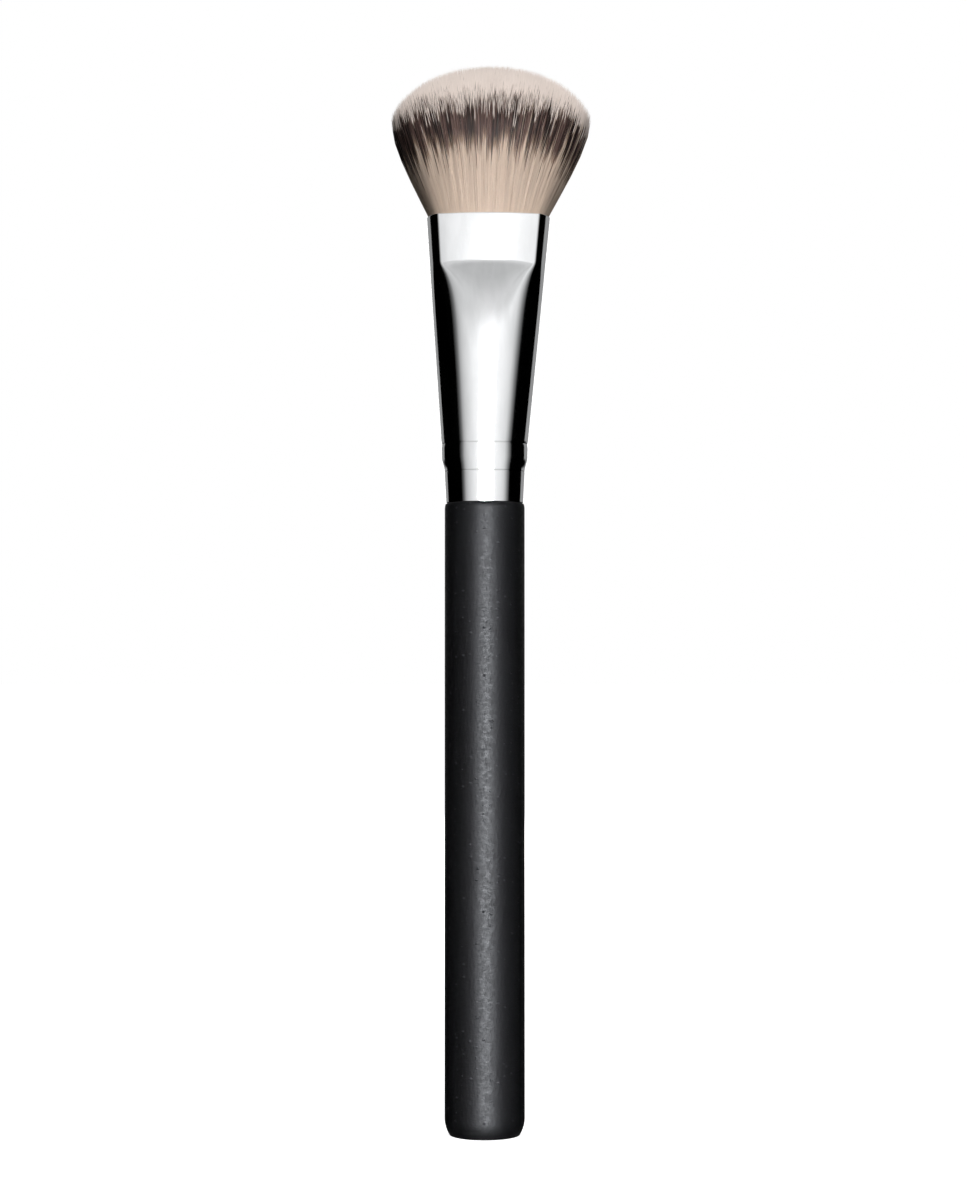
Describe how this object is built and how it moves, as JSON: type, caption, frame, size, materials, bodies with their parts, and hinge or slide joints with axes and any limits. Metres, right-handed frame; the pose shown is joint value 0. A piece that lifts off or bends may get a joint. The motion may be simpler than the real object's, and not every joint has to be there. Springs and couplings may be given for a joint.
{
  "type": "blush brush",
  "caption": "Straight black handle, crimped metal ferrule pressed from round to a broad flat mouth, and a domed, flared bristle tuft with a dark band under pale tips.",
  "frame": {"origin": "centre of the flat round butt face at the free end of the handle", "axes": "+Z along the handle towards the bristle tips, -Y the front of the broad face shown in the picture, +X across the tuft's broad side to the viewer's right"},
  "size_m": [0.0315, 0.0206, 0.1699],
  "materials": {
    "lacquered_wood": "satin black lacquer",
    "adhesive": "cured wood adhesive",
    "plated_metal": "polished nickel plate",
    "resin": "cured amber resin",
    "thread": "wound cotton thread",
    "fibre": "soft fibre, cream with a dark brown band and pale tips"
  },
  "bodies": {
    "root": {"handle": "lacquered_wood", "handle_glue": "adhesive", "ferrule": "plated_metal", "root_plug": "resin", "root_binding": "thread", "bristle_tuft": "fibre"}
  },
  "joints": []
}
